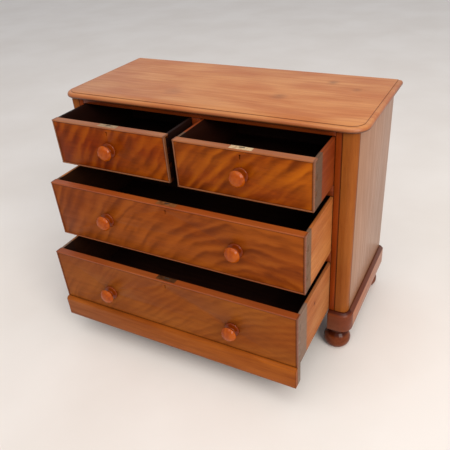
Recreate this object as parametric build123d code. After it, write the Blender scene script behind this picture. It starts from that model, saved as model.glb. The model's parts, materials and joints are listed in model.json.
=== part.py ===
from build123d import *
import os

# Miniature chest of drawers: two short drawers over two long ones, in birch.
# Millimetres. X to the right, Y to the back, Z up, floor at Z = 0.
# While modelling, Y = 0 is the front face of the carcass; the export moves the
# origin to the middle of the footprint of the chest with its drawers pulled out.

# ---- heights, from the floor up ----
FOOT_H = 29.2
PLINTH_H = 25.5
BOTTOM_TIER_H = 66.1
LOWER_RAIL_H = 13.4
MIDDLE_TIER_H = 67.6
UPPER_RAIL_H = 12.3
SHORT_TIER_H = 51.7
TOP_RAIL_H = 5.6
TOP_T = 5.6

# ---- plan ----
DRAWER_W = 300.0  # a long drawer
GAP = 0.3  # clearance round a drawer
STILE_W = 6.6
POST_W = 14.8
POST_R = 8.0  # rounding of the corner post
FRAME_T = 8.4  # depth of the stiles and posts
SIDE_T = 7.0
SIDE_STEP = 0.3  # side panel set back from the corner post
CARCASS_D = 147.0
RAIL_D = 36.0
DIVIDER_W = 11.1
BACK_T = 5.2
BACK_REBATE = 3.0
BACK_BOARDS = 4
BOTTOM_T = 6.0
GROOVE = 0.5  # V groove between stile and post

# ---- top board ----
TOP_SIDE_OVER = 7.8
TOP_FRONT_OVER = 4.0
TOP_BACK_OVER = 0.8
TOP_CORNER_R = 19.0
EDGE_BAND = 5.2  # from the outer edge to the scribed quirk
QUIRK = 0.6  # height of the field above the moulded edge
THUMB_R = 3.4  # rounding of the edge above
UNDER_R = 1.2  # and below

# ---- inside the carcass ----
RUNNER_T = 6.0
RUNNER_X = 140.0
GUIDE_H = 12.0
CENTRE_RUNNER_X = 18.0
STOP_H = 2.4
STOP_D = 4.5
STOP_W = 14.0
SHORT_STOP_XS = (-110.0, -40.0, 40.0, 110.0)
LONG_STOP_XS = (-100.0, 100.0)

# ---- plinth and feet ----
PLINTH_PROUD = 5.0
PLINTH_BEVEL = 3.4
PLINTH_CORNER_R = 13.4
CORNER_BLOCK_D = 24.0
REAR_BLOCK_Y = 120.0
PLINTH_INNER = 14.0  # thickness of the plinth side where the carcass sits on it
FOOT_X = 158.8
FOOT_YS = {"front": 10.5, "rear": 131.9}
FOOT_R = 15.8  # widest, at the middle of the bun
BUN_H = 20.0
FOOT_BASE_R = 9.2
FOOT_NECK_R = 8.2
FOOT_COLLAR_R = 11.0
FOOT_COLLAR_H = 1.6
SPIGOT_R = 4.0
SPIGOT_L = 12.0
HOLE_EASE = 0.1

# ---- drawers ----
FRONT_T = 7.5
BOARD_T = 3.2
LAP = 2.5  # wood left in front of the lapped dovetails
DRAWER_L = 134.0
PANEL_T = 2.4
PANEL_UP = 3.0
PANEL_IN = 1.5
SIDE_DROP = 0.4  # sides stand this much below the front's top edge
BACK_DROP = 2.0
BEAD_W = 1.5
BEAD_OUT = 0.6
BEAD_IN = 2.4
BEAD_R = 0.5
KNOB_X = 78.0
BOTTOM_KNOB_DROP = 6.0  # the bottom drawer's knobs sit below the middle of its face
KNOB_OUT = 13.0
KNOB_RIM_R = 8.6
KNOB_BASE_R = 8.4  # ring against the drawer front
KNOB_BASE_H = 2.2
KNOB_NECK_R = 4.0
KNOB_SHOULDER = (7.9, 9.9)  # radius and height where the dome starts
KNOB_SPIGOT_R = 2.4
KNOB_SPIGOT_L = 7.2
TAIL_NARROW = 0.27  # half width of a dovetail as a share of its pitch
TAIL_WIDE = 0.36

# ---- locks ----
KEYHOLE_DROP = 7.0
KEYHOLE_R = 1.05
KEYHOLE_SLOT = (1.0, 3.8)
SELVEDGE = (23.4, 6.4, 1.0)
CASE = (19.0, 3.4, 13.0)
BOLT = (6.0, 1.5, 9.0)
BOLT_EASE = 0.25
MORTISE_D = 2.9

# ---- how far each drawer stands out ----
OUT = {"top_left": 52.1, "top_right": 55.6, "middle": 76.0, "bottom": 95.8}

# ---- worked out from the above ----
PLINTH_TOP = FOOT_H + PLINTH_H
LOWER_RAIL_Z = PLINTH_TOP + BOTTOM_TIER_H
MIDDLE_Z = LOWER_RAIL_Z + LOWER_RAIL_H
UPPER_RAIL_Z = MIDDLE_Z + MIDDLE_TIER_H
SHORT_Z = UPPER_RAIL_Z + UPPER_RAIL_H
TOP_RAIL_Z = SHORT_Z + SHORT_TIER_H
TOP_Z = TOP_RAIL_Z + TOP_RAIL_H
OPENING_X = DRAWER_W / 2 + GAP
STILE_X = OPENING_X + STILE_W
POST_X = STILE_X + POST_W
SIDE_X = POST_X - SIDE_STEP
INNER_X = SIDE_X - SIDE_T
BACK_Y = CARCASS_D - BACK_T
BOTTOM_Z = PLINTH_TOP - BOTTOM_T
PLINTH_X = POST_X + PLINTH_PROUD
STOP_Y = FRONT_T + GAP
LOCK_Y = FRONT_T - CASE[1] / 2 - 0.1
FRONT_MOST = -(OUT["bottom"] + KNOB_OUT)
BACK_MOST = CARCASS_D + TOP_BACK_OVER
TO_ORIGIN = Pos(0, -(FRONT_MOST + BACK_MOST) / 2, 0)

nodes = {}


def block(x, y, z):
    """A box between the given (low, high) pairs."""
    sizes = [high - low for low, high in (x, y, z)]
    middles = [(low + high) / 2 for low, high in (x, y, z)]
    return Pos(*middles) * Box(*sizes)


def flipped(part):
    """The same piece on the other side of the chest."""
    return mirror(part, about=Plane.YZ)


def pair(name, right):
    """A right-hand piece and its left-hand twin, as two nodes."""
    nodes[name + "_right"] = right
    nodes[name + "_left"] = flipped(right)


def group(parts):
    """Separate solids that share one node."""
    return Compound(list(parts))


def turned(outline):
    """A solid of revolution about Z. Each stretch of the closed outline is a line
    between two (radius, height) points or an arc through three."""
    stretches = [Line(*points) if len(points) == 2 else ThreePointArc(*points) for points in outline]
    return revolve(Plane.XZ * make_face(Curve() + stretches), Axis.Z)


# ---------------------------------------------------------------- top board
def rounded_plan(inset):
    half = POST_X + TOP_SIDE_OVER - inset
    front, back = -TOP_FRONT_OVER + inset, BACK_MOST
    plan = Pos(0, (front + back) / 2) * Rectangle(2 * half, back - front)
    return fillet(plan.vertices().sort_by(Axis.Y)[:2], TOP_CORNER_R - inset)


def top_board():
    def moulded(edge):
        return edge.center().Y < BACK_MOST - 1

    slab = Pos(0, 0, TOP_Z) * extrude(rounded_plan(0), TOP_T - QUIRK)
    upper = slab.faces().sort_by(Axis.Z)[-1].edges().filter_by(moulded)
    slab = fillet(upper, THUMB_R)
    lower = slab.faces().sort_by(Axis.Z)[0].edges().filter_by(moulded)
    slab = fillet(lower, UNDER_R)
    field = Pos(0, 0, TOP_Z) * extrude(rounded_plan(EDGE_BAND), TOP_T)
    return slab + field


nodes["top_board"] = top_board()


# ------------------------------------------------------------ carcass boards
def side_panel():
    panel = block((INNER_X, SIDE_X), (FRAME_T, CARCASS_D), (BOTTOM_Z, TOP_Z))
    rebate = block((INNER_X, INNER_X + BACK_REBATE), (BACK_Y, CARCASS_D), (BOTTOM_Z, TOP_Z))
    return panel - rebate


def back_boards():
    half = INNER_X + BACK_REBATE
    width = 2 * half / BACK_BOARDS
    for i in range(BACK_BOARDS):
        left = -half + i * width
        yield block((left, left + width - GAP), (BACK_Y, CARCASS_D), (BOTTOM_Z, TOP_Z))


def corner_post():
    plan = Pos(STILE_X + POST_W / 2, FRAME_T / 2) * Rectangle(POST_W, FRAME_T)
    plan = fillet(plan.vertices().group_by(Axis.Y)[0].sort_by(Axis.X)[-1], POST_R)
    plan = chamfer(plan.vertices().sort_by(Axis.X).group_by(Axis.X)[0].sort_by(Axis.Y)[0], GROOVE)
    return Pos(0, 0, PLINTH_TOP) * extrude(plan, TOP_Z - PLINTH_TOP)


def stile():
    plan = Pos(OPENING_X + STILE_W / 2, FRAME_T / 2) * Rectangle(STILE_W, FRAME_T)
    plan = chamfer(plan.vertices().group_by(Axis.X)[-1].sort_by(Axis.Y)[0], GROOVE)
    return Pos(0, 0, PLINTH_TOP) * extrude(plan, TOP_Z - PLINTH_TOP)


def rail(low, high):
    face = block((-OPENING_X, OPENING_X), (0, FRAME_T), (low, high))
    web = block((-INNER_X, INNER_X), (FRAME_T, RAIL_D), (low, high))
    return face + web


def mortise(x, z):
    """Pocket above a lock, for its bolt."""
    half_w, half_t = BOLT[0] / 2 + GAP, BOLT[1] / 2 + GAP
    return block((x - half_w, x + half_w), (LOCK_Y - half_t, LOCK_Y + half_t), (z, z + MORTISE_D))


pair("side", side_panel())
pair("corner_post", corner_post())
pair("stile", stile())
nodes["back_boards"] = group(back_boards())
nodes["top_rail"] = rail(TOP_RAIL_Z, TOP_Z) - mortise(KNOB_X, TOP_RAIL_Z) - mortise(-KNOB_X, TOP_RAIL_Z)
nodes["upper_rail"] = rail(UPPER_RAIL_Z, SHORT_Z) - mortise(0, UPPER_RAIL_Z)
nodes["lower_rail"] = rail(LOWER_RAIL_Z, MIDDLE_Z) - mortise(0, LOWER_RAIL_Z)
nodes["centre_divider"] = block((-DIVIDER_W / 2, DIVIDER_W / 2), (0, RAIL_D), (SHORT_Z, TOP_RAIL_Z))


# ------------------------------------------------- runners, guides and stops
def runners():
    """Strips under the drawer sides, guides beside them and kickers above the short drawers."""
    span = (RAIL_D, BACK_Y)
    for top in (SHORT_Z, MIDDLE_Z):
        strip = block((RUNNER_X, INNER_X), span, (top - RUNNER_T, top))
        yield from (strip, flipped(strip))
    kicker = block((RUNNER_X, INNER_X), span, (TOP_RAIL_Z, TOP_Z))
    yield from (kicker, flipped(kicker))
    yield block((-CENTRE_RUNNER_X, CENTRE_RUNNER_X), span, (SHORT_Z - RUNNER_T, SHORT_Z))
    yield block((-CENTRE_RUNNER_X, CENTRE_RUNNER_X), span, (TOP_RAIL_Z, TOP_Z))
    for floor in (SHORT_Z, MIDDLE_Z, PLINTH_TOP):
        guide = block((OPENING_X, INNER_X), (FRAME_T, BACK_Y), (floor, floor + GUIDE_H))
        yield from (guide, flipped(guide))
    yield block((-DIVIDER_W / 2, DIVIDER_W / 2), span, (SHORT_Z, SHORT_Z + GUIDE_H))


def stops():
    """Blocks that meet the back of each drawer front when it is shut."""
    places = [(x, SHORT_Z) for x in SHORT_STOP_XS]
    places += [(x, z) for z in (MIDDLE_Z, PLINTH_TOP) for x in LONG_STOP_XS]
    for x, z in places:
        yield block((x - STOP_W / 2, x + STOP_W / 2), (STOP_Y, STOP_Y + STOP_D), (z, z + STOP_H))


nodes["drawer_runners"] = group(runners())
nodes["drawer_stops"] = group(stops())


# ------------------------------------------------------------ plinth and feet
def foot_hole(y):
    return Pos(FOOT_X, y, FOOT_H + SPIGOT_L / 2) * Cylinder(SPIGOT_R + HOLE_EASE, SPIGOT_L + 1)


def plinth_corner():
    """Rounded block under the stile and post; the front foot is let into it."""
    depth = FRAME_T + PLINTH_PROUD
    width = PLINTH_X - OPENING_X
    plan = Pos(OPENING_X + width / 2, (FRAME_T - PLINTH_PROUD) / 2) * Rectangle(width, depth)
    plan = fillet(plan.vertices().group_by(Axis.Y)[0].sort_by(Axis.X)[-1], PLINTH_CORNER_R)
    body = Pos(0, 0, FOOT_H) * extrude(plan, PLINTH_H)

    def outer(edge):
        centre = edge.center()
        return centre.Y < FRAME_T - 1 and centre.X > OPENING_X + 1 and (
            centre.X > POST_X or centre.Y < 0)

    body = chamfer(body.faces().sort_by(Axis.Z)[-1].edges().filter_by(outer), PLINTH_BEVEL)
    inner = block((OPENING_X, SIDE_X), (FRAME_T, CORNER_BLOCK_D), (FOOT_H, BOTTOM_Z))
    return body + inner - foot_hole(FOOT_YS["front"])


def plinth_side():
    """Rebated board: the carcass sits in the rebate and the moulding covers its edge."""
    board = block((SIDE_X, PLINTH_X), (FRAME_T, CARCASS_D), (FOOT_H, PLINTH_TOP))
    top_edge = board.edges().filter_by(Axis.Y).group_by(Axis.Z)[-1].sort_by(Axis.X)[-1]
    ledge = block((PLINTH_X - PLINTH_INNER, SIDE_X), (CORNER_BLOCK_D, REAR_BLOCK_Y), (FOOT_H, BOTTOM_Z))
    return chamfer(top_edge, PLINTH_BEVEL) + ledge


def bottom_board():
    """The board the bottom drawer runs on, with a foot block at each rear corner."""
    lip = block((-OPENING_X, OPENING_X), (STOP_Y, FRAME_T), (BOTTOM_Z, PLINTH_TOP))
    board = block((-INNER_X, INNER_X), (FRAME_T, BACK_Y), (BOTTOM_Z, PLINTH_TOP))
    rear = block((OPENING_X, SIDE_X), (REAR_BLOCK_Y, CARCASS_D), (FOOT_H, BOTTOM_Z))
    rear -= foot_hole(FOOT_YS["rear"])
    return group([lip + board, rear, flipped(rear)])


def foot():
    """Bun foot: base, squashed ball, neck, collar and spigot."""
    bun_edge = (FOOT_NECK_R + 1.6, BUN_H)
    neck_top = (FOOT_NECK_R + 0.8, FOOT_H - FOOT_COLLAR_H - 0.8)
    collar_low = (FOOT_COLLAR_R, FOOT_H - FOOT_COLLAR_H)
    spigot_top = FOOT_H + SPIGOT_L - 1
    outline = [
        ((0, 0), (FOOT_BASE_R, 0)),
        ((FOOT_BASE_R, 0), (FOOT_R, BUN_H / 2), bun_edge),
        (bun_edge, (FOOT_NECK_R, (BUN_H + neck_top[1]) / 2), neck_top),
        (neck_top, collar_low),
        (collar_low, (FOOT_COLLAR_R, FOOT_H)),
        ((FOOT_COLLAR_R, FOOT_H), (SPIGOT_R, FOOT_H)),
        ((SPIGOT_R, FOOT_H), (SPIGOT_R, spigot_top)),
        ((SPIGOT_R, spigot_top), (0, spigot_top)),
        ((0, spigot_top), (0, 0)),
    ]
    return turned(outline)


pair("plinth_corner", plinth_corner())
pair("plinth_side", plinth_side())
nodes["bottom_board"] = bottom_board()
for place, foot_y in FOOT_YS.items():
    pair("foot_" + place, Pos(FOOT_X, foot_y, 0) * foot())


# -------------------------------------------------------------------- drawers
def tails(x, y_narrow, y_wide, z, count):
    """Dovetails through the thickness of a drawer side, wider at y_wide."""
    pitch = (z[1] - z[0]) / count
    shapes = []
    for i in range(count):
        mid = z[0] + pitch * (i + 0.5)
        narrow, wide = TAIL_NARROW * pitch, TAIL_WIDE * pitch
        corners = [(y_narrow, mid - narrow), (y_wide, mid - wide),
                   (y_wide, mid + wide), (y_narrow, mid + narrow)]
        outline = Plane.YZ * make_face(Polyline(*corners, close=True))
        shapes.append(Pos(x[0], 0, 0) * extrude(outline, x[1] - x[0]))
    return shapes


def knob():
    """Turned mushroom knob on a spigot; its axis is Z here, pointing out."""
    shoulder_r, shoulder_z = KNOB_SHOULDER
    dome_h = KNOB_OUT - shoulder_z
    dome_r = (shoulder_r**2 + dome_h**2) / (2 * dome_h)
    half_r = shoulder_r / 2
    half_z = KNOB_OUT - dome_r + (dome_r**2 - half_r**2) ** 0.5
    ring_foot = (KNOB_BASE_R - 0.4, 0)
    ring_top = (KNOB_BASE_R - 1.0, KNOB_BASE_H)
    waist = (KNOB_NECK_R + 0.6, 5.2)
    under_rim = (shoulder_r - 0.1, 7.9)
    outline = [
        ((0, -KNOB_SPIGOT_L), (KNOB_SPIGOT_R, -KNOB_SPIGOT_L)),
        ((KNOB_SPIGOT_R, -KNOB_SPIGOT_L), (KNOB_SPIGOT_R, 0)),
        ((KNOB_SPIGOT_R, 0), ring_foot),
        (ring_foot, (KNOB_BASE_R, KNOB_BASE_H / 2), ring_top),
        (ring_top, (KNOB_NECK_R + 0.3, 3.4), waist),
        (waist, (KNOB_NECK_R + 2.0, 6.9), under_rim),
        (under_rim, (KNOB_RIM_R, 8.9), (shoulder_r, shoulder_z)),
        ((shoulder_r, shoulder_z), (half_r, half_z), (0, KNOB_OUT)),
        ((0, KNOB_OUT), (0, -KNOB_SPIGOT_L)),
    ]
    return turned(outline)


def keyhole(x, z):
    depth = FRONT_T + 2
    eye = Pos(x, depth / 2 - 1, z + KEYHOLE_R) * Rot(90, 0, 0) * Cylinder(KEYHOLE_R, depth)
    width, drop = KEYHOLE_SLOT
    return eye + block((x - width / 2, x + width / 2), (-1, depth - 1), (z + KEYHOLE_R - drop, z + KEYHOLE_R))


def lock(x, top):
    """Selvedge plate in the top edge of the front, and the case below it."""
    plate = block((x - SELVEDGE[0] / 2, x + SELVEDGE[0] / 2),
                  (FRONT_T - SELVEDGE[1], FRONT_T), (top - SELVEDGE[2], top))
    case = block((x - CASE[0] / 2, x + CASE[0] / 2),
                 (LOCK_Y - CASE[1] / 2, LOCK_Y + CASE[1] / 2), (top - CASE[2], top - SELVEDGE[2]))
    return plate + case


def bolt(x, top, ease=0.0):
    half_w, half_t = BOLT[0] / 2 + ease, BOLT[1] / 2 + ease
    above = 1.0 if ease else -0.1
    return block((x - half_w, x + half_w), (LOCK_Y - half_t, LOCK_Y + half_t),
                 (top - BOLT[2] - 2 * ease, top + above))


def bead(x, y, z):
    """One strip of cockbead with its front corners rounded."""
    strip = block(x, y, z)
    run = Axis.X if x[1] - x[0] > z[1] - z[0] else Axis.Z
    return fillet(strip.edges().filter_by(run).group_by(Axis.Y)[0], BEAD_R)


def drawer(name, x, z, tail_count, knob_xs, plinth=False):
    """One drawer, modelled shut and then pulled out by its amount in OUT."""
    low, high = z
    lock_x = (x[0] + x[1]) / 2
    inner = (x[0] + BOARD_T, x[1] - BOARD_T)
    panel_z = (low + PANEL_UP, low + PANEL_UP + PANEL_T)
    panel = block((inner[0] - PANEL_IN, inner[1] + PANEL_IN), (FRONT_T - PANEL_IN, DRAWER_L), panel_z)

    side_top, back_top = high - SIDE_DROP, high - BACK_DROP
    side_x = {"left": (x[0], inner[0]), "right": (inner[1], x[1])}
    sides, laps, throughs = {}, [], []
    for hand, span in side_x.items():
        lap = tails(span, FRONT_T, LAP, (low, side_top), tail_count)
        through = tails(span, DRAWER_L - BOARD_T, DRAWER_L, (panel_z[1], back_top), tail_count)
        core = block(span, (FRONT_T, DRAWER_L - BOARD_T), (low, side_top))
        heel = block(span, (DRAWER_L - BOARD_T, DRAWER_L), (low, panel_z[1]))
        sides[hand] = core + heel + lap + through - panel
        laps += lap
        throughs += through

    bead_low = low if plinth else low + BEAD_W
    beads = [bead(x, (-BEAD_OUT, FRONT_T), (high - BEAD_W, high))]
    beads += [bead(end, (-BEAD_OUT, BEAD_IN), (bead_low, high - BEAD_W))
              for end in ((x[0], x[0] + BEAD_W), (x[1] - BEAD_W, x[1]))]
    if not plinth:
        beads.append(bead(x, (-BEAD_OUT, BEAD_IN), (low, bead_low)))

    front_low = FOOT_H + GAP if plinth else low
    board = block(x, (0, FRONT_T), (front_low, high - BEAD_W))
    fitted_lock = lock(lock_x, high)
    key = keyhole(lock_x, high - KEYHOLE_DROP)
    knob_z = (low + high) / 2 - (BOTTOM_KNOB_DROP if plinth else 0)
    knob_holes = [Pos(kx, FRONT_T / 2, knob_z) * Rot(90, 0, 0)
                  * Cylinder(KNOB_SPIGOT_R + HOLE_EASE, FRONT_T + 2) for kx in knob_xs]
    board = board - beads[1:] - laps - panel - fitted_lock - bolt(lock_x, high, BOLT_EASE) - key - knob_holes

    parts = {
        "front": board,
        "side_left": sides["left"],
        "side_right": sides["right"],
        "back": block(x, (DRAWER_L - BOARD_T, DRAWER_L), (panel_z[1], back_top)) - throughs,
        "bottom": panel,
        "cockbead": group([beads[0] - fitted_lock] + beads[1:]),
        "knob" if len(knob_xs) == 1 else "knobs": group(
            Pos(kx, 0, knob_z) * Rot(90, 0, 0) * knob() for kx in knob_xs),
        "lock": fitted_lock - bolt(lock_x, high, BOLT_EASE) - key,
        "lock_bolt": bolt(lock_x, high),
    }
    if plinth:
        moulding = block(x, (-PLINTH_PROUD, 0), (FOOT_H + GAP, low))
        top_edge = moulding.edges().filter_by(Axis.X).group_by(Axis.Z)[-1].sort_by(Axis.Y)[0]
        parts["plinth"] = fillet(top_edge, PLINTH_BEVEL)
    for piece, solid in parts.items():
        nodes[name + "_" + piece] = Pos(0, -OUT[name], 0) * solid


def tier(floor, height):
    return (floor + GAP, floor + height - GAP)


SHORT_X = (DIVIDER_W / 2 + GAP, DRAWER_W / 2)
LONG_X = (-DRAWER_W / 2, DRAWER_W / 2)
drawer("top_left", (-SHORT_X[1], -SHORT_X[0]), tier(SHORT_Z, SHORT_TIER_H), 3, [-KNOB_X])
drawer("top_right", SHORT_X, tier(SHORT_Z, SHORT_TIER_H), 3, [KNOB_X])
drawer("middle", LONG_X, tier(MIDDLE_Z, MIDDLE_TIER_H), 4, [-KNOB_X, KNOB_X])
drawer("bottom", LONG_X, tier(PLINTH_TOP, BOTTOM_TIER_H), 4, [-KNOB_X, KNOB_X], plinth=True)

# --------------------------------------------------------------------- export
os.makedirs("parts", exist_ok=True)
for name, solid in nodes.items():
    placed = TO_ORIGIN * solid
    placed.label = name
    export_step(placed, "parts/" + name + ".step")
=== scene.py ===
import json
import math

import bmesh
import bpy
from mathutils import Matrix, Vector


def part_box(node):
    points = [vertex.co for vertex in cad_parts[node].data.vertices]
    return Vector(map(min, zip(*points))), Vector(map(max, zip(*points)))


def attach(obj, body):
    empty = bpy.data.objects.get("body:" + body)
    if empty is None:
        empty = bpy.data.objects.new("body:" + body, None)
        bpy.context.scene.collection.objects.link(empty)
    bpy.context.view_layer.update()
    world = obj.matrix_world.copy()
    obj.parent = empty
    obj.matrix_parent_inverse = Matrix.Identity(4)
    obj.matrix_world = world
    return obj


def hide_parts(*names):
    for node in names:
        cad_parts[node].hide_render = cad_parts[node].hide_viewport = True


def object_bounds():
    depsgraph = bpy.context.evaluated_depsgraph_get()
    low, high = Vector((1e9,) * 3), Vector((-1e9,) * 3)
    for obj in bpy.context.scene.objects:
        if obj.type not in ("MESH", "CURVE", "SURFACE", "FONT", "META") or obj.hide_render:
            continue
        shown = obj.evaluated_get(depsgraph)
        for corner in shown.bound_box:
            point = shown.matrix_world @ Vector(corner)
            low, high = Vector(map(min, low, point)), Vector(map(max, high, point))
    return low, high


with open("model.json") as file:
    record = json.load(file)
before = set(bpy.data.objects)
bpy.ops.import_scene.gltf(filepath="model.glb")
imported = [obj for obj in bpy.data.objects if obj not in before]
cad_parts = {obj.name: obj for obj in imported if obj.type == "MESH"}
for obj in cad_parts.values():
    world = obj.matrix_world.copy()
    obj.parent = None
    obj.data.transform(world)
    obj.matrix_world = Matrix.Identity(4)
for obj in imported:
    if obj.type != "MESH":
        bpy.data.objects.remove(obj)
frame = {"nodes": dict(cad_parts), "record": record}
cad_low, cad_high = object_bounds()

MM = 0.001
ARRIS = 0.35 * MM  # how far a hand-planed board's corners are taken off
TOP_CORNER = 19 * MM  # rounding of the top board's front corners, as in the CAD
SCRIBE_INSET = 5.2 * MM  # from the top board's edge to its scribed line
BUN_HEIGHT = 20 * MM  # of a foot, under its neck
SHARP = math.radians(30)
BODY_OF = {node: body for body, nodes in frame["record"]["behaviour"]["bodies"].items() for node in nodes}
DRAWERS = ("top_left", "top_right", "middle", "bottom")


# ------------------------------------------------------------- shader helpers
def linear(tone):
    """An sRGB colour such as "8e4a1c" as the linear RGBA that sockets take."""
    parts = [int(tone[i:i + 2], 16) / 255 for i in (0, 2, 4)]
    return tuple(p / 12.92 if p <= 0.04045 else ((p + 0.055) / 1.055) ** 2.4 for p in parts) + (1.0,)


def put(tree, kind, inputs=None, **settings):
    """Adds a node; an input is given a plain value or another node's output."""
    node = tree.nodes.new("ShaderNode" + kind)
    for key, value in settings.items():
        setattr(node, key, value)
    for key, value in (inputs or {}).items():
        if isinstance(value, bpy.types.NodeSocket):
            tree.links.new(value, node.inputs[key])
        else:
            node.inputs[key].default_value = value
    return node


def maths(tree, operation, *values, clamp=False):
    return put(tree, "Math", dict(enumerate(values)), operation=operation, use_clamp=clamp).outputs[0]


def vector_maths(tree, operation, *values):
    return put(tree, "VectorMath", dict(enumerate(values)), operation=operation).outputs[0]


def between(tree, value, low, high, to_low=0.0, to_high=1.0, smooth=False):
    """Remaps value from low..high to to_low..to_high."""
    node = put(tree, "MapRange", {0: value, 1: low, 2: high, 3: to_low, 4: to_high})
    node.interpolation_type = "SMOOTHSTEP" if smooth else "LINEAR"
    return node.outputs[0]


def blend(tree, factor, a, b, how="MIX"):
    """Mixes two colours."""
    node = put(tree, "Mix", {0: factor, 6: a, 7: b}, data_type="RGBA", blend_type=how)
    return node.outputs[2]


def noise(tree, vector, detail=3.0, roughness=0.5, distortion=0.0):
    return put(tree, "TexNoise", {"Vector": vector, "Scale": 1.0, "Detail": detail, "Roughness": roughness,
                                  "Distortion": distortion}).outputs["Fac"]


def effect(name, inputs, outputs):
    """An empty shader node group with named sockets."""
    tree = bpy.data.node_groups.new(name, "ShaderNodeTree")
    for key, kind in inputs.items():
        tree.interface.new_socket(key, in_out="INPUT", socket_type="NodeSocket" + kind)
    for key in outputs:
        tree.interface.new_socket(key, in_out="OUTPUT", socket_type="NodeSocketFloat")
    into = tree.nodes.new("NodeGroupInput")
    out = tree.nodes.new("NodeGroupOutput")
    return tree, into.outputs, out.inputs


def use(tree, group, inputs):
    node = put(tree, "Group")
    node.node_tree = group
    for key, value in inputs.items():
        if isinstance(value, bpy.types.NodeSocket):
            tree.links.new(value, node.inputs[key])
        else:
            node.inputs[key].default_value = value
    return node.outputs


# -------------------------------------------------------------- shared effects
def grain_effect():
    """Birch grain running along X: long streaks, soft clouds and short dark pores."""
    tree, into, out = effect("birch grain", {"Vector": "Vector"},
                             ("Streaks", "Fibre", "Cloud", "Pores"))
    place = into["Vector"]
    wander = noise(tree, vector_maths(tree, "MULTIPLY", place, (9, 20, 20)), 2.0)
    swing = put(tree, "CombineXYZ", {1: maths(tree, "MULTIPLY", wander, 0.016)}).outputs[0]
    bent = vector_maths(tree, "ADD", place, swing)
    streaks = noise(tree, vector_maths(tree, "MULTIPLY", bent, (11, 230, 230)), 5.0, 0.6)
    fibre = noise(tree, vector_maths(tree, "MULTIPLY", bent, (40, 1100, 1100)), 2.0)
    cloud = noise(tree, vector_maths(tree, "MULTIPLY", bent, (11, 26, 26)), 3.0)
    pores = noise(tree, vector_maths(tree, "MULTIPLY", bent, (240, 2600, 2600)), 1.0)
    tree.links.new(between(tree, streaks, 0.32, 0.68), out["Streaks"])
    tree.links.new(between(tree, fibre, 0.3, 0.7), out["Fibre"])
    tree.links.new(between(tree, cloud, 0.35, 0.65, smooth=True), out["Cloud"])
    tree.links.new(between(tree, pores, 0.66, 0.78), out["Pores"])
    return tree


def flame_effect():
    """Flame figure: bands that follow rings about the Y axis and break up into flames of uneven length.

    Bands is how many there are to a metre and Reach the distance from the rings' centre.
    """
    tree, into, out = effect("flame figure", {"Vector": "Vector", "Bands": "Float", "Reach": "Float"},
                             ("Flame",))
    sway = put(tree, "TexNoise", {"Vector": into["Vector"], "Scale": 22.0, "Detail": 2.0}).outputs["Color"]
    bent = vector_maths(tree, "ADD", into["Vector"], vector_maths(
        tree, "MULTIPLY", vector_maths(tree, "SUBTRACT", sway, (0.5, 0.5, 0.5)), (0.013, 0.013, 0.013)))
    x, y, z = put(tree, "SeparateXYZ", {0: bent}).outputs
    radius = maths(tree, "SQRT", maths(tree, "ADD", maths(tree, "MULTIPLY", x, x),
                                       maths(tree, "MULTIPLY", z, z)))
    across = maths(tree, "MULTIPLY", radius, into["Bands"])
    turn = maths(tree, "ARCTAN2", x, z)
    along = maths(tree, "MULTIPLY", turn, maths(tree, "MULTIPLY", into["Reach"], 26.0))
    flames = noise(tree, put(tree, "CombineXYZ", {0: across, 1: along, 2: y}).outputs[0], 2.0, 0.45)
    phase = maths(tree, "ADD", across, maths(tree, "MULTIPLY", flames, 1.3))
    wave = maths(tree, "SINE", maths(tree, "MULTIPLY", phase, 2 * math.pi))
    patches = noise(tree, vector_maths(tree, "MULTIPLY", into["Vector"], (26, 26, 26)), 3.0)
    strength = between(tree, patches, 0.35, 0.65, 0.06, 0.32, smooth=True)
    bands = maths(tree, "MULTIPLY", wave, strength)
    broken = maths(tree, "MULTIPLY", maths(tree, "SUBTRACT", flames, 0.5), 1.5)
    tree.links.new(maths(tree, "ADD", maths(tree, "ADD", bands, broken), 0.5, clamp=True), out["Flame"])
    return tree


def edge_effect():
    """Near the corners of a board whose box runs from Low to High: 1 at the corner, 0 at Width from it."""
    tree, into, out = effect("board edges", {"Vector": "Vector", "Low": "Vector", "High": "Vector",
                                             "Width": "Float"}, ("Edge",))
    below = vector_maths(tree, "SUBTRACT", into["Vector"], into["Low"])
    above = vector_maths(tree, "SUBTRACT", into["High"], into["Vector"])
    near = vector_maths(tree, "ABSOLUTE", vector_maths(tree, "MINIMUM", below, above))
    x, y, z = put(tree, "SeparateXYZ", {0: near}).outputs
    lesser, greater = maths(tree, "MINIMUM", x, y), maths(tree, "MAXIMUM", x, y)
    second = maths(tree, "MAXIMUM", lesser, maths(tree, "MINIMUM", greater, z))
    ratio = maths(tree, "DIVIDE", second, into["Width"], clamp=True)
    tree.links.new(maths(tree, "SUBTRACT", 1.0, ratio, clamp=True), out["Edge"])
    return tree


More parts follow.
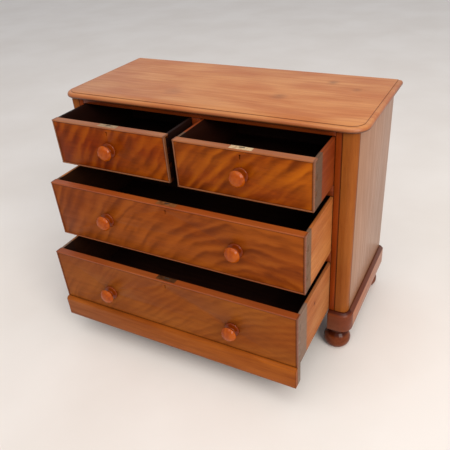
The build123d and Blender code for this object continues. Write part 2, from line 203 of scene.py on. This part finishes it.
def scribe_effect():
    """A line of the given Width that follows a round-cornered outline: sides at Half either way from the
    middle, front at Front, corners of the given Radius.
    """
    tree, into, out = effect("scribed line", {"Vector": "Vector", "Half": "Float", "Front": "Float",
                                              "Radius": "Float", "Width": "Float"}, ("Line",))
    x, y, _ = put(tree, "SeparateXYZ", {0: into["Vector"]}).outputs
    across = maths(tree, "ADD", maths(tree, "SUBTRACT", maths(tree, "ABSOLUTE", x), into["Half"]),
                   into["Radius"])
    along = maths(tree, "ADD", maths(tree, "SUBTRACT", into["Front"], y), into["Radius"])
    corner = put(tree, "CombineXYZ", {0: maths(tree, "MAXIMUM", across, 0.0),
                                      1: maths(tree, "MAXIMUM", along, 0.0)}).outputs[0]
    outside = put(tree, "VectorMath", {0: corner}, operation="LENGTH").outputs["Value"]
    inside = maths(tree, "MINIMUM", maths(tree, "MAXIMUM", across, along), 0.0)
    distance = maths(tree, "ABSOLUTE", maths(tree, "SUBTRACT", maths(tree, "ADD", outside, inside),
                                             into["Radius"]))
    ratio = maths(tree, "DIVIDE", distance, into["Width"], clamp=True)
    tree.links.new(maths(tree, "SUBTRACT", 1.0, maths(tree, "MULTIPLY", ratio, ratio), clamp=True),
                   out["Line"])
    return tree


GRAIN, FLAME, EDGES, SCRIBE = grain_effect(), flame_effect(), edge_effect(), scribe_effect()
GRAIN_TURN = {"X": (0, 0, 0), "Y": (0, 0, math.pi / 2), "Z": (0, math.pi / 2, 0)}


# ------------------------------------------------------------------- materials
def new_material(name):
    material = bpy.data.materials.new(name)
    material.use_nodes = True
    tree = material.node_tree
    tree.nodes.clear()
    shader = put(tree, "BsdfPrincipled")
    put(tree, "OutputMaterial", {"Surface": shader.outputs[0]})
    return material, tree, shader


def timber(name, box, tones, grain="X", streak=0.5, cloud=0.5, seam=0.6, seam_box=None, gloss=(0.3, 0.45),
           sheen=0.2, coat=0.05, figure=None, scribe=None, marks=(), knots=(), bump=0.12):
    """A waxed or bare board. Tones are its dark, middle and light colours.

    figure is the flame figure's ring centre (x, z from the board's middle), bands and strength.
    marks are (axis, from, to, tone, strength): the board turns to that tone past a plane.
    knots are (place, size, tone, strength): a soft dark smudge.
    """
    low, high = box
    material, tree, shader = new_material(name)
    here = put(tree, "TexCoord").outputs["Object"]
    middle = (low + high) / 2
    place = put(tree, "Mapping", {"Vector": here, "Location": -middle}).outputs[0]
    turned = put(tree, "Mapping", {"Vector": place, "Rotation": GRAIN_TURN[grain],
                                   "Location": (middle.x * 3, middle.z * 7, middle.y * 5)}).outputs[0]
    wood = use(tree, GRAIN, {"Vector": turned})
    dark, mid, light = (linear(tone) for tone in tones)

    colour = blend(tree, maths(tree, "MULTIPLY", wood["Cloud"], cloud), mid, light)
    colour = blend(tree, maths(tree, "MULTIPLY", wood["Streaks"], streak), colour, dark)
    colour = blend(tree, maths(tree, "MULTIPLY", wood["Fibre"], 0.18), colour, dark)
    if figure:
        centre_x, centre_z, bands, strength = figure
        rings = put(tree, "Mapping", {"Vector": place, "Location": (-centre_x, 0, -centre_z)}).outputs[0]
        flame = use(tree, FLAME, {"Vector": rings, "Bands": bands,
                                  "Reach": math.hypot(centre_x, centre_z)})["Flame"]
        colour = blend(tree, between(tree, flame, 0.0, 0.52, strength, 0.0), colour, dark)
        colour = blend(tree, between(tree, flame, 0.48, 1.0, 0.0, strength), colour, light)
    for spot, size, tone, strength in knots:
        away = put(tree, "VectorMath", {0: vector_maths(tree, "SUBTRACT", here, spot)}, operation="LENGTH")
        ragged = maths(tree, "MULTIPLY", wood["Cloud"], size * 0.6)
        near = between(tree, maths(tree, "ADD", away.outputs["Value"], ragged), size * 0.3, size * 1.6,
                       strength, 0.0, smooth=True)
        colour = blend(tree, near, colour, linear(tone))
    axes = dict(zip("XYZ", put(tree, "SeparateXYZ", {0: here}).outputs))
    for axis, start, end, tone, strength in marks:
        colour = blend(tree, between(tree, axes[axis], start, end, 0.0, strength), colour, linear(tone))
    colour = blend(tree, maths(tree, "MULTIPLY", wood["Pores"], 0.3), colour, linear("2a0f06"))
    seam_low, seam_high = seam_box or box
    edge = use(tree, EDGES, {"Vector": here, "Low": seam_low, "High": seam_high, "Width": 1.1 * MM})["Edge"]
    colour = blend(tree, maths(tree, "MULTIPLY", edge, seam), colour, linear("230b04"))
    height = maths(tree, "ADD", maths(tree, "MULTIPLY", wood["Fibre"], 0.4), wood["Pores"])
    if scribe:
        line = use(tree, SCRIBE, {"Vector": here, **scribe})["Line"]
        colour = blend(tree, maths(tree, "MULTIPLY", line, 0.6), colour, linear("3a1406"))
    rough = between(tree, wood["Streaks"], 0.0, 1.0, *gloss)
    normal = put(tree, "Bump", {"Height": height, "Strength": bump, "Distance": 0.15 * MM}, invert=True)
    for socket, value in (("Base Color", colour), ("Roughness", rough), ("Normal", normal.outputs[0])):
        tree.links.new(value, shader.inputs[socket])
    shader.inputs["Specular IOR Level"].default_value = sheen
    shader.inputs["Coat Weight"].default_value = coat
    shader.inputs["Coat Roughness"].default_value = 0.16
    return material


def turned_wood(name, tones, centre, axis, gloss=(0.18, 0.3), coat=0.1, neck=None):
    """A turned piece: rings round its axis with streaks through them.

    neck is (axis, from, to): past that plane the wood is painted darker, as painted shade in a recessed
    neck or waist.
    """
    material, tree, shader = new_material(name)
    here = put(tree, "TexCoord").outputs["Object"]
    place = put(tree, "Mapping", {"Vector": here, "Location": -centre}).outputs[0]
    dark, mid, light = (linear(tone) for tone in tones)
    rings = put(tree, "TexWave", {"Vector": place, "Scale": 60.0, "Distortion": 3.0, "Detail": 2.0,
                                  "Detail Scale": 1.2}, wave_type="RINGS", rings_direction=axis)
    streaks = noise(tree, vector_maths(tree, "MULTIPLY", place, (300, 90, 300)), 4.0)
    patches = noise(tree, vector_maths(tree, "MULTIPLY", place, (70, 70, 70)), 2.0)
    colour = blend(tree, maths(tree, "MULTIPLY", rings.outputs["Fac"], 0.2), mid, light)
    colour = blend(tree, between(tree, streaks, 0.45, 0.75, 0.0, 0.35), colour, dark)
    colour = blend(tree, between(tree, patches, 0.45, 0.75, 0.0, 0.5), colour, light)
    # Painted shade in the recessed neck or waist.
    if neck:
        along, start, end = neck
        depth = dict(zip("XYZ", put(tree, "SeparateXYZ", {0: here}).outputs))[along]
        colour = blend(tree, between(tree, depth, start, end, 0.0, 0.75, smooth=True), colour, dark)
    rough = between(tree, patches, 0.3, 0.7, *gloss)
    normal = put(tree, "Bump", {"Height": streaks, "Strength": 0.06, "Distance": 0.1 * MM})
    for socket, value in (("Base Color", colour), ("Roughness", rough), ("Normal", normal.outputs[0])):
        tree.links.new(value, shader.inputs[socket])
    shader.inputs["Specular IOR Level"].default_value = 0.12
    shader.inputs["Coat Weight"].default_value = coat
    shader.inputs["Coat Roughness"].default_value = 0.1
    return material


def old_metal(name, tone, tarnish, rough=0.4):
    """Dulled metal with tarnish in patches and fine scratches."""
    material, tree, shader = new_material(name)
    here = put(tree, "TexCoord").outputs["Object"]
    patches = noise(tree, vector_maths(tree, "MULTIPLY", here, (260, 260, 260)), 4.0)
    scratches = noise(tree, vector_maths(tree, "MULTIPLY", here, (120, 2400, 2400)), 2.0)
    colour = blend(tree, between(tree, patches, 0.4, 0.68), linear(tone), linear(tarnish))
    roughness = between(tree, scratches, 0.2, 0.8, rough - 0.12, rough + 0.15)
    normal = put(tree, "Bump", {"Height": scratches, "Strength": 0.1, "Distance": 0.05 * MM})
    for socket, value in (("Base Color", colour), ("Roughness", roughness), ("Normal", normal.outputs[0])):
        tree.links.new(value, shader.inputs[socket])
    shader.inputs["Metallic"].default_value = 0.5
    return material


# --------------------------------------------------------------- mesh helpers
def add_piece(name, mesh_data, material, node=None, body=None):
    """Stands a finished mesh in the scene, riding on its body."""
    mesh = bpy.data.meshes.new(name)
    mesh_data.normal_update()
    mesh_data.to_mesh(mesh)
    mesh_data.free()
    mesh.shade_smooth()
    mesh.set_sharp_from_angle(angle=SHARP)
    mesh.materials.append(material)
    piece = bpy.data.objects.new(name, mesh)
    bpy.context.scene.collection.objects.link(piece)
    if node:
        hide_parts(node)
    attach(piece, body or BODY_OF[node])
    return piece


def softened(node, material, width=ARRIS):
    """The CAD board with its arrises taken off, as a hand-planed one has, kept within its CAD box."""
    shape = bmesh.new()
    shape.from_mesh(frame["nodes"][node].data)
    bmesh.ops.remove_doubles(shape, verts=shape.verts, dist=2e-6)
    bmesh.ops.dissolve_limit(shape, angle_limit=math.radians(0.5), verts=shape.verts, edges=shape.edges)
    sharp = [e for e in shape.edges if e.is_manifold and e.calc_face_angle(0) > SHARP]
    bmesh.ops.bevel(shape, geom=sharp, affect="EDGES", offset=width, segments=2, profile=0.5, material=-1,
                    clamp_overlap=True)
    low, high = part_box(node)
    for vert in shape.verts:
        vert.co = [min(max(at, least), most) for at, least, most in zip(vert.co, low, high)]
    return add_piece(node + "_wood", shape, material, node=node)


def dressed(node, material):
    """The CAD piece itself in this material, for small or unseen pieces whose arrises stay crisp."""
    data = frame["nodes"][node].data
    data.materials.clear()
    data.materials.append(material)


def spun(shape, outline, steps=96):
    """Spins a (radius, height) outline about Z into a closed solid."""
    points = [shape.verts.new((radius, 0, height)) for radius, height in outline]
    edges = [shape.edges.new(pair) for pair in zip(points, points[1:])]
    bmesh.ops.spin(shape, geom=points + edges, axis=(0, 0, 1), cent=(0, 0, 0), steps=steps,
                   angle=2 * math.pi, use_merge=True)
    bmesh.ops.remove_doubles(shape, verts=shape.verts, dist=1e-6)
    bmesh.ops.recalc_face_normals(shape, faces=shape.faces)


def curve(*corners, steps=8):
    """A smooth run of points through the corners, in even steps along a spline."""
    points = []
    padded = [corners[0], *corners, corners[-1]]
    for a, b, c, d in zip(padded, padded[1:], padded[2:], padded[3:]):
        for i in range(steps):
            t = i / steps
            points.append(tuple(0.5 * (2 * q + (r - p) * t + (2 * p - 5 * q + 4 * r - s) * t**2
                                       + (3 * q - p - 3 * r + s) * t**3) for p, q, r, s in zip(a, b, c, d)))
    return points + [corners[-1]]


# -------------------------------------------------------------- carcass boards
POST_TONES = ("5a2208", "94501c", "ac682c")
STILE_TONES = ("501404", "84340a", "9c4a16")
SIDE_TONES = ("76482e", "9c6c4a", "b08060")
CORNER_BLOCK_TONES = ("3c1206", "743418", "8c4c26")
PLINTH_TONES = ("6a2c14", "a85e34", "c07e50")
FOOT_TONES = ("320e06", "642a10", "84441e")
TOP_TONES = ("94481c", "c07030", "d69050")
TOP_SMUDGES = (  # mm from the right edge, mm from the back, size, tone, strength
    (70, 31, 9, "7a4a22", 0.75),
    (110, 89, 10, "8a5024", 0.65),
    (230, 108, 12, "9a5a30", 0.5),
    (38, 48, 6, "8a5024", 0.5),
)
# Aged wood inside the carcass and drawers, darkened further as painted shade for the unlit interior.
INSIDE_AGED_AND_SHADE_TONES = ("140604", "2c1208", "44200e")
PINE_TONES = ("5c3a22", "8c6038", "a87c4c")


def carcass():
    low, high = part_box("top_board")
    scribe = {"Half": high.x - SCRIBE_INSET, "Front": low.y + SCRIBE_INSET,
              "Radius": TOP_CORNER - SCRIBE_INSET, "Width": 0.42 * MM}
    smudges = []
    for from_right, from_back, size, tone, strength in TOP_SMUDGES:
        spot = (high.x - from_right * MM, high.y - from_back * MM, high.z)
        smudges.append((spot, size * MM, tone, strength))
    # The top board's lip and underside turn a darker red below its top face; the dark band at the lip's
    # lower edge is painted shade.
    lip_tone_and_shade = (("Z", high.z - 0.6 * MM, high.z - 2.4 * MM, "8a3e14", 0.6),
                  ("Z", low.z + 2.6 * MM, low.z + 0.8 * MM, "3c1404", 0.9))
    top = timber("top birch", (low, high), TOP_TONES, streak=0.4, cloud=0.9, seam=0.0, gloss=(0.32, 0.45),
                 scribe=scribe, sheen=0.45, coat=0.1, knots=smudges, marks=lip_tone_and_shade)
    softened("top_board", top, width=0.25 * MM)
    plinth_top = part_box("plinth_side_right")[1].z
    # Painted shade: a dark band along the top of each plinth side for its bevel, and along each corner
    # block's cove.
    bevel = (("Z", plinth_top - 4.2 * MM, plinth_top - 3.2 * MM, "4a1a0a", 0.85),)
    cove_shade = (("Z", plinth_top - 2.6 * MM, plinth_top - 1.2 * MM, "3a1006", 0.85),)
    side_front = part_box("side_right")[0].y
    # Painted shade: a dark line where the side board meets the corner post, painted on the side's front and
    # the post's back.
    side_shadow_line = (("Y", side_front + 1.4 * MM, side_front + 0.4 * MM, "1a0804", 0.95),)
    post_shadow_line = (("Y", side_front - 1.6 * MM, side_front - 0.6 * MM, "1a0804", 0.8),)
    for hand in ("left", "right"):
        boards = (("side", SIDE_TONES, "Z", side_shadow_line, 0.45),
                  ("corner_post", POST_TONES, "Z", post_shadow_line, 0.05),
                  ("stile", STILE_TONES, "Z", (), 0.05),
                  ("plinth_corner", CORNER_BLOCK_TONES, "X", cove_shade, 0.15),
                  ("plinth_side", PLINTH_TONES, "Y", bevel, 0.3))
        for board, tones, grain, marks, sheen in boards:
            node = f"{board}_{hand}"
            softened(node, timber(node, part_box(node), tones, grain=grain, marks=marks, sheen=sheen,
                                  streak=0.3, seam=0.85))
    for node in ("top_rail", "upper_rail", "lower_rail"):
        low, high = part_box(node)
        # Painted shade: each rail darkens towards the back, inside the carcass.
        back = (("Y", low.y + 9 * MM, low.y + 16 * MM, "20100a", 0.9),)
        softened(node, timber(node, (low, high), STILE_TONES, marks=back))
    softened("centre_divider", timber("divider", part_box("centre_divider"), STILE_TONES, grain="Z"))
    for node in ("back_boards", "bottom_board", "drawer_runners", "drawer_stops"):
        tones = PINE_TONES if node == "back_boards" else INSIDE_AGED_AND_SHADE_TONES
        grain = {"back_boards": "Z", "drawer_runners": "Y"}.get(node, "X")
        finish = dressed if node == "drawer_runners" else softened
        finish(node, timber(node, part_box(node), tones, grain=grain, gloss=(0.6, 0.8), coat=0.0, seam=0.0))


def feet():
    for place in ("front_left", "front_right", "rear_left", "rear_right"):
        node = "foot_" + place
        low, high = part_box(node)
        centre = (low + high) / 2
        radius = (high.x - low.x) / 2
        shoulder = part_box("plinth_corner_right")[0].z
        outline = [(0, 0)]
        outline += curve((radius * 0.56, 0), (radius * 0.82, 1.6 * MM), (radius * 0.965, 6 * MM),
                         (radius * 0.97, 11 * MM), (radius * 0.84, 16 * MM), (radius * 0.64, BUN_HEIGHT))
        outline += curve((radius * 0.56, BUN_HEIGHT + 0.6 * MM), (radius * 0.53, BUN_HEIGHT + 2.6 * MM),
                         (radius * 0.58, shoulder - 2.6 * MM), (radius * 0.69, shoulder - 1.8 * MM))
        outline += [(radius * 0.7, shoulder), (4 * MM, shoulder), (4 * MM, high.z), (0, high.z)]
        shape = bmesh.new()
        spun(shape, outline)
        bmesh.ops.translate(shape, verts=shape.verts, vec=(centre.x, centre.y, 0))
        # Painted shade: the foot is painted darker from the top of the bun up through its neck.
        material = turned_wood(node, FOOT_TONES, Vector((centre.x, centre.y, 0)), "Z",
                               neck=("Z", BUN_HEIGHT - 5 * MM, BUN_HEIGHT - 1 * MM))
        add_piece(node + "_turned", shape, material, node=node)


# -------------------------------------------------------------------- drawers
FRONT_TONES = {
    "top_left": ("3c1002", "822e04", "a6520a"),
    "top_right": ("481602", "8e3c08", "b45e0c"),
    "middle": ("461604", "8a3e0c", "a8581a"),
    "bottom": ("52220a", "8a4414", "a05c20"),
}
FIGURES = {  # ring centre from the middle of the front, bands to the metre, strength
    "top_left": (0.35, -0.25, 85, 0.6),
    "top_right": (0.24, -0.26, 90, 0.65),
    "middle": (0.11, -0.14, 85, 0.5),
    "bottom": (0.25, -0.3, 120, 0.25),
}
# Cockbead tones: the bead's own colour with a painted sheen, taken from its top run where it catches light.
BEAD_AND_SHEEN_TONES = {
    "top_left": ("7c4024", "a05c34", "bc8050"),
    "top_right": ("783a1c", "a05826", "b87440"),
    "middle": ("762e0c", "9c4818", "b05e24"),
    "bottom": ("6c2c0c", "94461a", "a85a26"),
}
# How far old polish reaches back along each drawer's sides, in mm from its front; on top_left the band is
# instead near-black painted shade over the whole visible side.
POLISH_AND_SHADE_REACH = {"top_left": 60, "top_right": 20.5, "middle": 15, "bottom": 25}
# End tones: the grey-brown of old polish, and near-black painted shade for top_left.
END_POLISH_AND_SHADE_TONES = {"top_left": "160805", "top_right": "5a4636", "middle": "66503e", "bottom": "786456"}
# Drawer side tones: middle and bottom in their lit colour, top_right darker and top_left near-black as
# painted shade.
LINING_LIT_AND_SHADED_TONES = {
    "top_left": ("120604", "2a1008", "3a180c"),
    "top_right": ("561c06", "7c300c", "94461a"),
    "middle": ("7c3a1a", "b06630", "c88448"),
    "bottom": ("7c3c1e", "aa6434", "c28450"),
}
# One brass with tarnish, given per-drawer tones as painted light and shade: paler on top_right where the
# plate catches light, darker on the bottom drawer's in shade.
BRASS_LIT_AND_SHADED_TONES = {
    "top_left": ("c0a078", "90704c"),
    "top_right": ("f0d0a0", "c09468"),
    "middle": ("a86c3c", "7c4820"),
    "bottom": ("6a4222", "4a2c16"),
}
KNOB_TONES = ("5c1a02", "9a4004", "c0600a")
FRONT_PLINTH_TONES = ("5c2408", "984c14", "b46420")


def one_knob(shape, x, z, face_y, reach, radius):
    """Mushroom knob: ring against the drawer front, waist and a domed head, pointing towards -Y."""
    outline = [(0, -6 * MM), (2.3 * MM, -6 * MM), (2.3 * MM, 0), (radius - 0.7 * MM, 0)]
    outline += curve((radius - 0.35 * MM, 0.3 * MM), (radius - 0.15 * MM, 1.1 * MM),
                     (radius - 0.6 * MM, 1.9 * MM), (radius - 1.5 * MM, 2.3 * MM), steps=6)
    outline += curve((radius - 2.2 * MM, 2.5 * MM), (4.5 * MM, 3.4 * MM), (4.1 * MM, 5.0 * MM),
                     (5.2 * MM, 6.8 * MM), (7.3 * MM, 7.7 * MM))
    outline += curve((radius - 0.4 * MM, 8.1 * MM), (radius, 8.9 * MM), (radius - 0.5 * MM, 9.9 * MM),
                     (radius * 0.74, reach - 1.3 * MM), (radius * 0.4, reach - 0.3 * MM), (0, reach))
    part = bmesh.new()
    spun(part, outline, steps=72)
    place = Matrix.Translation((x, face_y, z)) @ Matrix.Rotation(math.pi / 2, 4, "X")
    bmesh.ops.transform(part, verts=part.verts, matrix=place)
    mesh = bpy.data.meshes.new("turning")
    part.to_mesh(mesh)
    part.free()
    shape.from_mesh(mesh)
    bpy.data.meshes.remove(mesh)


def knobs(name):
    node = name + ("_knob" if name.startswith("top") else "_knobs")
    low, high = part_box(node)
    radius = (high.z - low.z) / 2
    middle = (low + high) / 2
    face_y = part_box(name + "_cockbead")[0].y + 0.6 * MM
    shape = bmesh.new()
    centres = (middle.x,) if name.startswith("top") else (low.x + radius, high.x - radius)
    for x in centres:
        one_knob(shape, x, middle.z, face_y, face_y - low.y, radius)
    # Painted shade: the knob's waist and base ring, behind its dome, are painted darker.
    material = turned_wood(node, KNOB_TONES, Vector((low.x + radius, low.y, middle.z)),
                           "Y", gloss=(0.16, 0.26), coat=0.16,
                           neck=("Y", face_y - 7.5 * MM, face_y - 4 * MM))
    add_piece(node + "_turned", shape, material, node=node)


def lock_screws(name, brass):
    """Two small plain screw heads in the selvedge plate."""
    low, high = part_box(name + "_lock")
    shape = bmesh.new()
    for side in (-1, 1):
        x = (low.x + high.x) / 2 + side * 8.6 * MM
        y = (low.y + high.y) / 2
        head = Matrix.Translation((x, y, high.z - 0.12 * MM))
        disc = bmesh.ops.create_cone(shape, cap_ends=True, segments=24, radius1=1.25 * MM,
                                     radius2=1.1 * MM, depth=0.25 * MM, matrix=head)["verts"]
        top = [f for f in {f for v in disc for f in v.link_faces} if f.normal.z > 0.9]
        bmesh.ops.inset_region(shape, faces=top, thickness=0.2 * MM)
    add_piece(name + "_lock_screws", shape, brass, body=BODY_OF[name + "_lock"])


def drawer(name, brass, steel):
    low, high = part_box(name + "_front")
    bead_low, bead_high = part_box(name + "_cockbead")
    bead = 1.5 * MM
    face_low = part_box("bottom_plinth")[1].z if name == "bottom" else low.z + bead
    face = (Vector((low.x + bead, low.y, face_low)), Vector((high.x - bead, high.y, high.z)))
    # The front's end grain takes the end tone: old polish, and near-black painted shade on top_left.
    ends = (("X", low.x + 0.3 * MM, low.x, END_POLISH_AND_SHADE_TONES[name], 0.85),
            ("X", high.x - 0.3 * MM, high.x, END_POLISH_AND_SHADE_TONES[name], 0.85))
    # Painted shade: the back of the front, inside the drawer, is near-black.
    back = (("Y", high.y - 0.8 * MM, high.y, "1c0b06", 0.95),)
    softened(name + "_front", timber(
        name + " front birch", (low, high), FRONT_TONES[name], streak=0.2, cloud=0.5, seam=0.75,
        seam_box=face, gloss=(0.28, 0.4), sheen=0.06, coat=0.0, figure=FIGURES[name], marks=ends + back))
    # Painted shade: the bead's side and bottom runs are darker than its lit top run.
    bead_runs_shade = (("X", bead_low.x + 1.7 * MM, bead_low.x + 1.4 * MM, "5a3420", 0.6),
              ("X", bead_high.x - 1.7 * MM, bead_high.x - 1.4 * MM, "5a3420", 0.6),
              ("Z", bead_low.z + 1.7 * MM, bead_low.z + 1.4 * MM, "6e4024", 0.5))
    dressed(name + "_cockbead", timber(name + " bead", (bead_low, bead_high), BEAD_AND_SHEEN_TONES[name], seam=0.0,
                                       streak=0.4, sheen=0.3, marks=bead_runs_shade))
    for hand, inner in (("left", 1), ("right", -1)):
        node = f"{name}_side_{hand}"
        side_low, side_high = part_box(node)
        inside_x = side_high.x if inner > 0 else side_low.x
        # Painted shade: the inner face of each drawer side is near-black.
        inside = ("X", inside_x - inner * 0.6 * MM, inside_x, "1c0a05", 0.97)
        # Old polish along each side's outer face from the front; on top_left this band is near-black
        # painted shade.
        end = low.y + POLISH_AND_SHADE_REACH[name] * MM
        polish_and_shade = ("Y", end + 1.0 * MM, end - 1.0 * MM, END_POLISH_AND_SHADE_TONES[name], 0.9)
        knot = (side_high.x, side_low.y + 45 * MM, side_high.z - 18 * MM)
        knots = ((knot, 2.2 * MM, "5a1e08", 0.9),) if name == "bottom" else ()
        lining = timber(node, (side_low, side_high), LINING_LIT_AND_SHADED_TONES[name], grain="Y", streak=0.4, cloud=0.7,
                        gloss=(0.45, 0.6), sheen=0.1, coat=0.0, seam=0.35, marks=(polish_and_shade, inside),
                        knots=knots)
        softened(node, lining, width=0.2 * MM)
    for part in ("back", "bottom"):
        node = f"{name}_{part}"
        softened(node, timber(node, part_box(node), INSIDE_AGED_AND_SHADE_TONES, streak=0.4, gloss=(0.6, 0.75), coat=0.0,
                              seam=0.0), width=0.2 * MM)
    dressed(name + "_lock", brass)
    dressed(name + "_lock_bolt", steel)
    knobs(name)
    lock_screws(name, brass)


def drawers():
    steel = old_metal("old steel", "4a4540", "2a221c", rough=0.5)
    for name in DRAWERS:
        drawer(name, old_metal(name + " brass", *BRASS_LIT_AND_SHADED_TONES[name]), steel)
    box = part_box("bottom_plinth")
    softened("bottom_plinth", timber("front plinth", box, FRONT_PLINTH_TONES, seam=0.5,
                                     streak=0.45, sheen=0.06, coat=0.0))


# -------------------------------------------------------------- camera and light
AZIMUTH, ELEVATION, ROLL = (math.radians(a) for a in (28.24, 32.36, -3.79))
CAMERA_AT = Vector((0.2851, -0.4627, 0.4635))
LENS = 42.30
SHIFT = -0.04


def camera():
    back = Vector((math.sin(AZIMUTH) * math.cos(ELEVATION), -math.cos(AZIMUTH) * math.cos(ELEVATION),
                   math.sin(ELEVATION)))
    level = (-back).cross(Vector((0, 0, 1))).normalized()
    upright = level.cross(-back)
    right = math.cos(ROLL) * level + math.sin(ROLL) * upright
    up = math.cos(ROLL) * upright - math.sin(ROLL) * level
    data = bpy.data.cameras.new("camera")
    data.lens, data.sensor_width, data.shift_x, data.clip_start = LENS, 36.0, SHIFT, 0.01
    eye = bpy.data.objects.new("camera", data)
    eye.matrix_world = Matrix.Translation(CAMERA_AT) @ Matrix((right, up, back)).transposed().to_4x4()
    bpy.context.scene.collection.objects.link(eye)
    bpy.context.scene.camera = eye


def soft_light(name, at, aim, size, power, tint=(1, 1, 1)):
    data = bpy.data.lights.new(name, "AREA")
    data.shape, data.size, data.energy, data.color = "SQUARE", size, power, tint
    lamp = bpy.data.objects.new(name, data)
    lamp.location = at
    lamp.rotation_mode = "QUATERNION"
    lamp.rotation_quaternion = (Vector(aim) - Vector(at)).to_track_quat("-Z", "Y")
    bpy.context.scene.collection.objects.link(lamp)


def studio():
    world = bpy.data.worlds.new("studio")
    world.use_nodes = True
    world.node_tree.nodes["Background"].inputs["Color"].default_value = (0.93, 0.95, 1.0, 1)
    world.node_tree.nodes["Background"].inputs["Strength"].default_value = 0.55
    bpy.context.scene.world = world
    middle = (cad_low + cad_high) / 2
    soft_light("overhead", (0.4, -0.5, 2.0), middle, 2.0, 20, (1.0, 0.97, 0.93))
    soft_light("window on the right", (1.7, -1.1, 1.3), middle, 1.1, 28, (1.0, 0.95, 0.89))
    shape = bmesh.new()
    bmesh.ops.create_grid(shape, x_segments=1, y_segments=1, size=12)
    mesh = bpy.data.meshes.new("floor")
    shape.to_mesh(mesh)
    shape.free()
    floor = bpy.data.objects.new("floor", mesh)
    bpy.context.scene.collection.objects.link(floor)
    material, tree, shader = new_material("pale floor")
    here = put(tree, "TexCoord").outputs["Object"]
    mottle = noise(tree, vector_maths(tree, "MULTIPLY", here, (5, 5, 5)), 4.0)
    tint = blend(tree, between(tree, mottle, 0.35, 0.65), linear("e9e1d9"), linear("efe8e1"))
    tree.links.new(tint, shader.inputs["Base Color"])
    shader.inputs["Roughness"].default_value = 0.6
    mesh.materials.append(material)


carcass()
feet()
drawers()
camera()
studio()
bpy.context.scene.view_settings.view_transform = "Standard"
